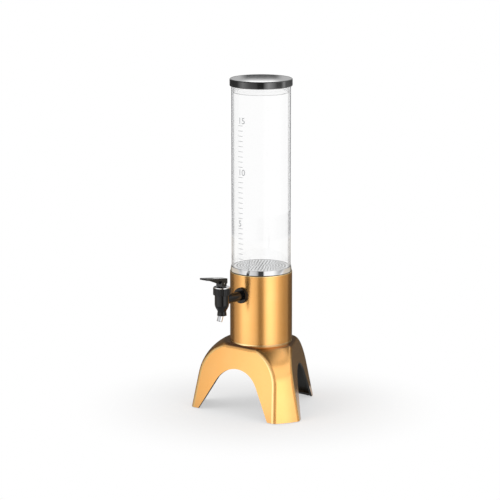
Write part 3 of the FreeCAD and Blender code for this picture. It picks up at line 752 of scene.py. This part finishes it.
def printed_scale():
    """Ticks and plain numbers on the tube."""
    bm = bmesh.new()
    for i in range(SCALE_TICKS):
        middle = SCALE_LOW + i * SCALE_PITCH
        label, rest = divmod(i - FIRST_NUMBER, NUMBER_STEP)
        if rest == 0:
            start = len(bm.verts)
            bm.from_mesh(number_mesh(SCALE_NUMBERS[label]))
            bm.verts.ensure_lookup_table()
            for v in bm.verts[start:]:
                v.co += Vector((0, middle - NUMBER_HEIGHT / 2, INK / 2))
        else:
            size = Matrix.Diagonal((TICK_LENGTH, TICK_HEIGHT, INK, 1))
            at = Matrix.Translation((TICK_LENGTH / 2, middle, INK / 2))
            bmesh.ops.create_cube(bm, size=1, matrix=at @ size)
    bmesh.ops.remove_doubles(bm, verts=bm.verts, dist=1e-6)
    mesh = smooth_mesh("printed_scale", wrapped(bm))
    new_piece("printed_scale", mesh, "clear_tube", "tower", printed_ink())


# ---------------------------------------------------------------- light tent

TENT_R = 0.36                   # cards stand round the object at this radius and show in its gloss
TENT_TOP = 0.62
TENT_SIDES = 96
TENT_PEAK = 1.8
# Rows of cards round the object, one above the other, each for the part that mirrors it. A card is
# (degrees to the right of the camera, brightness as a share of the peak), and they blend into one
# another: a key card on the right, a softer one on the left, and black between them and behind.
BODY_CARDS = [
    (-180, 0.08), (-128, 0.26), (-106, 0.27), (-88, 0.38), (-64, 0.86), (-44, 0.82), (-14, 0.5),
    (-8, 0.1), (5, 0.1), (11, 0.57), (22, 1.05), (36, 1.03), (50, 0.76), (66, 0.44), (88, 0.26),
    (126, 0.2), (180, 0.08),
]
KNEE_CARDS = [
    (-180, 0.34), (-100, 0.42), (5, 0.42), (16, 0.85), (60, 0.8), (90, 0.42), (180, 0.26),
]
COLLAR_CARDS = [
    (-180, 0.34), (-155, 0.34), (-146, 0.06), (-84, 0.2), (-68, 0.5), (-54, 0.54), (-20, 0.38),
    (-13, 0.25), (-8, 0.03), (7, 0.03), (12, 0.62), (42, 0.66), (66, 0.32), (90, 0.17), (130, 0.07),
    (138, 0.01), (150, 0.01), (158, 0.26), (180, 0.26),
]
TUBE_CARDS = [
    (-180, 0.03), (-152, 0.06), (-142, 0.16), (-96, 0.16), (-84, 0.42), (5, 0.42), (16, 0.75),
    (70, 0.7), (95, 0.42), (140, 0.42), (150, 0.08), (180, 0.02),
]
LID_CARDS = [
    (-180, 0.02), (-120, 0.04), (-92, 0.08), (-66, 0.6), (-40, 0.26), (-15, 0.15), (-11, 0.03),
    (7, 0.03), (14, 0.5), (26, 1.0), (42, 0.6), (57, 0.16), (74, 0.14), (87, 0.75), (97, 0.25),
    (125, 0.1), (180, 0.02),
]
HIGH_CARDS = [(-180, 0.1), (4, 0.1), (20, 0.4), (90, 0.42), (115, 0.1), (180, 0.1)]
# Each row, and the height that it starts at
TENT_ROWS = [
    (BODY_CARDS, 0.0), (KNEE_CARDS, 0.17), (COLLAR_CARDS, 0.205), (TUBE_CARDS, 0.245),
    (LID_CARDS, 0.453), (HIGH_CARDS, 0.475),
]
ROW_BLUR = 0.004                # height over which one row turns into the next
# Cards behind: (degrees to the left of straight behind, from and to, low, high, softness in metres,
# brightness). The lever's top mirrors the first two, the strainer the third, the lid's disc the rest.
BACK_CARDS = [
    (8, 11.5, 0.207, 0.245, 0.004, 1.1), (11.5, 20, 0.207, 0.245, 0.004, 0.3),
    (-12, 12, 0.255, 0.36, 0.004, 0.6), (-30, 30, 0.53, 0.61, 0.01, 0.55),
    (-4, 4, 0.52, 0.552, 0.02, 1.7), (-4.5, 4.5, 0.553, 0.58, 0.016, 0.05),
]
TOP_CARD = 1.1                  # overhead card, over the side to the camera's right
TOP_DIM = 0.12                  # and the black beside it
TOP_CARD_EDGE = (0.07, 0.31)
TOP_BLEND = TENT_TOP - 0.005    # the tent is its flat top above this height
WARM = (1.0, 0.86, 0.66)        # tone of the dim cards round the gold
WARM_BELOW = 0.2
WARM_LEVELS = (0.3, 1.5)        # brightness over which a card turns from warm to white


def studio_piece(name, bm):
    """An object of the studio, with a material of its own that is still empty, and its node tree."""
    mesh = plain_mesh(name, bm)
    paint = bpy.data.materials.new(name)
    paint.use_nodes = True
    paint.node_tree.nodes.clear()
    paint.cycles.emission_sampling = "NONE"
    mesh.materials.append(paint)
    piece = linked(name, mesh)
    return piece, paint.node_tree


def gloss_only(piece):
    """Shows a card in the object's gloss alone."""
    piece.visible_camera = piece.visible_diffuse = False
    piece.visible_transmission = piece.visible_shadow = False


def finish_with(tree, shader, kind="OutputMaterial"):
    """Ends a node tree with a shader."""
    tree.links.new(shader, put(tree, kind).inputs["Surface"])


def card_row(tree, turn, cards):
    """Brightness of one row of cards at an angle from -pi to pi."""
    ramp = put(tree, "ValToRGB", None, {0: spread(tree, turn, 0, 1, -math.pi, math.pi)})
    stops = ramp.color_ramp.elements
    while len(stops) < len(cards):
        stops.new(0.5)
    for stop, (degrees, share) in zip(stops, cards):
        stop.position = (degrees + 180) / 360
        stop.color = (share, share, share, 1)
    return ramp.outputs["Color"]


def above(tree, height, level, blur=ROW_BLUR):
    """1 above a height, 0 below it."""
    return spread(tree, height, 0, 1, level - blur / 2, level + blur / 2, smooth=True)


def blended(tree, share, first, second):
    """A value between two, by a share from 0 to 1."""
    rest = maths(tree, "MULTIPLY", maths(tree, "SUBTRACT", 1.0, share), first)
    return maths(tree, "ADD", rest, maths(tree, "MULTIPLY", share, second))


def light_tent():
    """Rows of cards round the object, a few behind it and one over it, seen only in its gloss."""
    bm = bmesh.new()
    bmesh.ops.create_cone(
        bm, segments=TENT_SIDES, radius1=TENT_R, radius2=TENT_R, depth=TENT_TOP, cap_ends=True)
    bmesh.ops.delete(bm, geom=[f for f in bm.faces if f.normal.z < -0.5], context="FACES")
    tent, tree = studio_piece("light_tent", bm)
    tent.location = (AXIS.x, AXIS.y, TENT_TOP / 2)
    tent.rotation_euler.z = math.radians(CAMERA_AZIMUTH_DEG)
    gloss_only(tent)

    spot = parts(tree, place(tree))
    turn = maths(tree, "ARCTAN2", spot["Y"], spot["X"])
    height = maths(tree, "ADD", spot["Z"], TENT_TOP / 2)
    level = None
    for cards, start in TENT_ROWS:
        row = maths(tree, "MULTIPLY", card_row(tree, turn, cards), TENT_PEAK)
        level = row if level is None else blended(tree, above(tree, height, start), level, row)
    behind = maths(tree, "WRAP", maths(tree, "SUBTRACT", turn, math.pi), -math.pi, math.pi)
    for right, left, low, high, blur, strength in BACK_CARDS:
        middle, half = math.radians(right + left) / 2, math.radians(left - right) / 2
        aside = maths(tree, "ABSOLUTE", maths(tree, "SUBTRACT", behind, middle))
        fade = blur / TENT_R / 2
        within = spread(tree, aside, 1, 0, half - fade, half + fade, smooth=True)
        there = maths(tree, "SUBTRACT", above(tree, height, low, blur), above(tree, height, high, blur))
        level = blended(tree, maths(tree, "MULTIPLY", within, there), level, strength)
    over = spread(tree, spot["Y"], TOP_DIM, TOP_CARD, *TOP_CARD_EDGE, smooth=True)
    level = blended(tree, above(tree, height, TOP_BLEND), level, over)
    white = maths(tree, "MAXIMUM", above(tree, height, WARM_BELOW),
                  spread(tree, level, 0, 1, *WARM_LEVELS))
    finish_with(tree, glow(tree, tint(tree, white, WARM, WHITE), level))


# ---------------------------------------------------------------- the rest of the studio

FLAG_R = 0.17                   # black flag close round the back, which darkens the sides
FLAG_LOW = 0.001
FLAG_HIGH = 0.19
FLAG_HALF_DEG = 75
FLAG_LEVEL = 0.12
FLAG_STEPS = 24


def black_flag():
    """Low black card bent round the back of the object, seen only in its gloss."""
    bm = bmesh.new()
    rims = []
    for i in range(FLAG_STEPS + 1):
        turn = 180 + FLAG_HALF_DEG * (2 * i / FLAG_STEPS - 1)
        rims.append([bm.verts.new(round_tower(turn, FLAG_R, z)) for z in (FLAG_LOW, FLAG_HIGH)])
    for before, after in zip(rims, rims[1:]):
        bm.faces.new((before[0], after[0], after[1], before[1]))
    flag, tree = studio_piece("black_flag", bm)
    gloss_only(flag)
    finish_with(tree, glow(tree, WARM, FLAG_LEVEL))


FLOOR_SIZE = 20.0
FLOOR_SIDES = 96
FLOOR_COLOUR = (0.93, 0.93, 0.93)
FLOOR_WHITE = 0.5               # share of plain white in the floor near the object
FLOOR_GLOSS = 0.5               # how bright the floor shows in the object's gloss
FLOOR_FADE = (0.11, 0.3)        # from here to here the floor turns into the white background


def pale_floor():
    """Plain pale floor that keeps the object's shadow and runs out into the white background."""
    bm = bmesh.new()
    bmesh.ops.create_circle(bm, cap_ends=True, segments=FLOOR_SIDES, radius=FLOOR_SIZE)
    tree = studio_piece("floor", bm)[1]
    paint = put(tree, "BsdfDiffuse", None, {"Color": FLOOR_COLOUR}).outputs[0]
    away = vectors(tree, "DISTANCE", place(tree), AXIS)
    ray = put(tree, "LightPath").outputs
    seen = maths(tree, "MAXIMUM", ray["Is Camera Ray"], ray["Is Transmission Ray"])
    white = maths(tree, "MULTIPLY", seen, spread(tree, away, FLOOR_WHITE, 1, *FLOOR_FADE, smooth=True))
    # A ray bent by the clear tube counts as gloss too, so it is taken out again.
    mirrored = maths(tree, "SUBTRACT", ray["Is Glossy Ray"], ray["Is Transmission Ray"])
    floor = mixed(tree, white, paint, glow(tree, WHITE, 1.0))
    finish_with(tree, mixed(tree, mirrored, floor, glow(tree, WHITE, FLOOR_GLOSS)))


PLAIN_LEVEL = 0.72              # the world's light on the object


def plain_world():
    """White where the camera, gloss or glass looks at it, and a plain level for everything else."""
    world = bpy.data.worlds.new("world")
    bpy.context.scene.world = world
    world.use_nodes = True
    tree = world.node_tree
    tree.nodes.clear()
    ray = put(tree, "LightPath").outputs
    seen = maths(tree, "MAXIMUM", ray["Is Camera Ray"],
                 maths(tree, "MAXIMUM", ray["Is Glossy Ray"], ray["Is Transmission Ray"]))
    level = spread(tree, seen, PLAIN_LEVEL, 1)
    sky = put(tree, "Background", None, {"Color": WHITE, "Strength": level}).outputs[0]
    finish_with(tree, sky, "OutputWorld")


LAMP_SIZE = 1.4
# Large soft lamps: name, degrees to the right of the camera, distance, height, watts
LAMPS = [("key_lamp", -60, 1.8, 1.9, 12), ("fill_lamp", 50, 2.0, 1.4, 6)]


def soft_lamp(name, azimuth_deg, distance, height, power):
    """Large soft lamp, aimed at the middle of the tower."""
    data = bpy.data.lights.new(name, "AREA")
    data.shape = "SQUARE"
    data.size = LAMP_SIZE
    data.energy = power
    lamp = linked(name, data)
    lamp.location = round_tower(azimuth_deg, distance, height)
    aim = Vector((AXIS.x, AXIS.y, cad_box[1].z / 2)) - lamp.location
    lamp.rotation_euler = aim.to_track_quat("-Z", "Y").to_euler()
    lamp.visible_camera = False
    lamp.visible_glossy = False


def studio():
    """Everything round the object."""
    light_tent()
    black_flag()
    pale_floor()
    plain_world()
    for lamp in LAMPS:
        soft_lamp(*lamp)
    bpy.context.scene.view_settings.view_transform = "Standard"


# ---------------------------------------------------------------- scene

for node, slot in SLOTS.items():
    dress(nodes[node], FINISHES[slot])

gold_sleeve_piece()
polished_collar()
clear_tube()
gloss_lid()
dished_disc()
coil_spring()
printed_scale()
studio()
make_camera()
